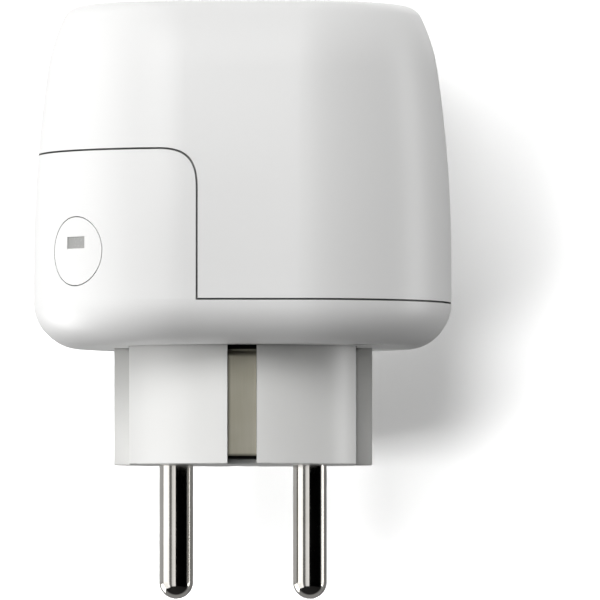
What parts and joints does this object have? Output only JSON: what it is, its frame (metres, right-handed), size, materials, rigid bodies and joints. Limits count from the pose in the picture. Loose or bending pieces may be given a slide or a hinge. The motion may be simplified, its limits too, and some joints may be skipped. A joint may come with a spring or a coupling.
{
  "type": "plug in power meter",
  "caption": "Plug-through metering adapter: round pin plug with earth strips, shuttered outlet, flush corner button and a relay and metering board inside.",
  "frame": {"origin": "centre of the plug nose's end face, on the pins' common plane", "axes": "+Z away from the wall, from the pins to the outlet; pins side by side along X; +Y is the side away from the flat face that is seen, and the button is on the corner towards -X -Y"},
  "size_m": [0.059, 0.059, 0.0836],
  "materials": {
    "housing": "white satin moulded ABS/PC, light-catching soft sheen",
    "nose": "white satin moulded polycarbonate",
    "button": "white satin moulded ABS, flush with the corner",
    "window": "pale grey translucent polycarbonate light guide",
    "well": "white moulded polycarbonate outlet cup",
    "shutter": "off-white acetal, low friction",
    "carrier": "black glass-filled nylon",
    "pin_nickel": "bright nickel-plated brass, polished",
    "strap_nickel": "dull nickel-plated spring strip",
    "contact_brass": "stamped brass, bare",
    "shunt_alloy": "manganin resistance alloy",
    "spring_steel": "stainless spring wire, cadmium-free",
    "screw_steel": "zinc-plated self-tapping screws",
    "board": "green solder mask on glass-epoxy board",
    "chip": "black epoxy package",
    "relay_case": "blue moulded relay cover",
    "copper_coil": "enamelled copper winding",
    "coil_tape": "yellow polyester tape over the winding",
    "soft_iron": "nickel-flashed soft iron",
    "ferrite": "sintered ferrite",
    "capacitor_sleeve": "black shrink sleeve over an aluminium can",
    "film_capacitor": "yellow film capacitor box",
    "varistor_blue": "blue epoxy coating",
    "shield_tin": "tin-plated shielding can",
    "lamp": "clear epoxy lamp",
    "plunger": "black acetal plunger"
  },
  "bodies": {
    "housing": {"base_shell": "housing", "cover_shell": "housing", "plug_nose": "nose", "line_pin": "pin_nickel", "neutral_pin": "pin_nickel", "earth_strap_front": "strap_nickel", "earth_strap_rear": "strap_nickel", "earth_bridge": "strap_nickel", "socket_well": "well", "outlet_floor": "well", "shutter_spring": "spring_steel", "contact_carrier": "carrier", "line_contact": "contact_brass", "neutral_contact": "contact_brass", "line_busbar_in": "contact_brass", "line_busbar_out": "contact_brass", "neutral_busbar": "contact_brass", "shunt_resistor": "shunt_alloy", "main_board": "board", "relay_base": "carrier", "relay_cover": "relay_case", "relay_coil": "copper_coil", "relay_yoke": "soft_iron", "relay_fixed_contact": "contact_brass", "relay_feed_terminal": "contact_brass", "transformer_core": "ferrite", "transformer_coil": "coil_tape", "transformer_bobbin": "carrier", "bulk_capacitors": "capacitor_sleeve", "mains_capacitor": "film_capacitor", "varistor": "varistor_blue", "fuse": "chip", "filter_choke": "copper_coil", "rectifier": "chip", "metering_chip": "chip", "radio_board": "board", "radio_shield": "shield_tin", "button_board": "board", "switch_body": "chip", "indicator_led": "lamp", "case_screws": "screw_steel"},
    "button": {"button_cap": "button", "light_guide": "window"},
    "plunger": {"switch_plunger": "plunger"},
    "shutter": {"shutter": "shutter"},
    "armature": {"relay_armature": "soft_iron", "relay_moving_contact": "contact_brass"}
  },
  "joints": [
    {"name": "button_press", "type": "slide", "parent": "housing", "child": "button", "axis": [0.7071, 0.7071, 0], "range_m": [0, 0.00035], "stiffness_N_per_m": 600, "springref_m": -0.0023},
    {"name": "plunger_press", "type": "slide", "parent": "housing", "child": "plunger", "axis": [0.7071, 0.7071, 0], "range_m": [0, 0.00035]},
    {"name": "shutter_slide", "type": "slide", "parent": "housing", "child": "shutter", "axis": [0, -1, 0], "range_m": [0, 0.0056], "stiffness_N_per_m": 120, "springref_m": -0.003, "deforming": ["shutter_spring"]},
    {"name": "armature_close", "type": "hinge", "parent": "housing", "child": "armature", "pos_m": [0.0199, 0.00535, 0.0363], "axis": [1, 0, 0], "range_deg": [-4.4, 0], "stiffness_Nm_per_rad": 0.02, "springref_deg": 2.86}
  ],
  "couplings": [
    {"joint": "plunger_press", "follows": "button_press", "ratio": 1}
  ]
}
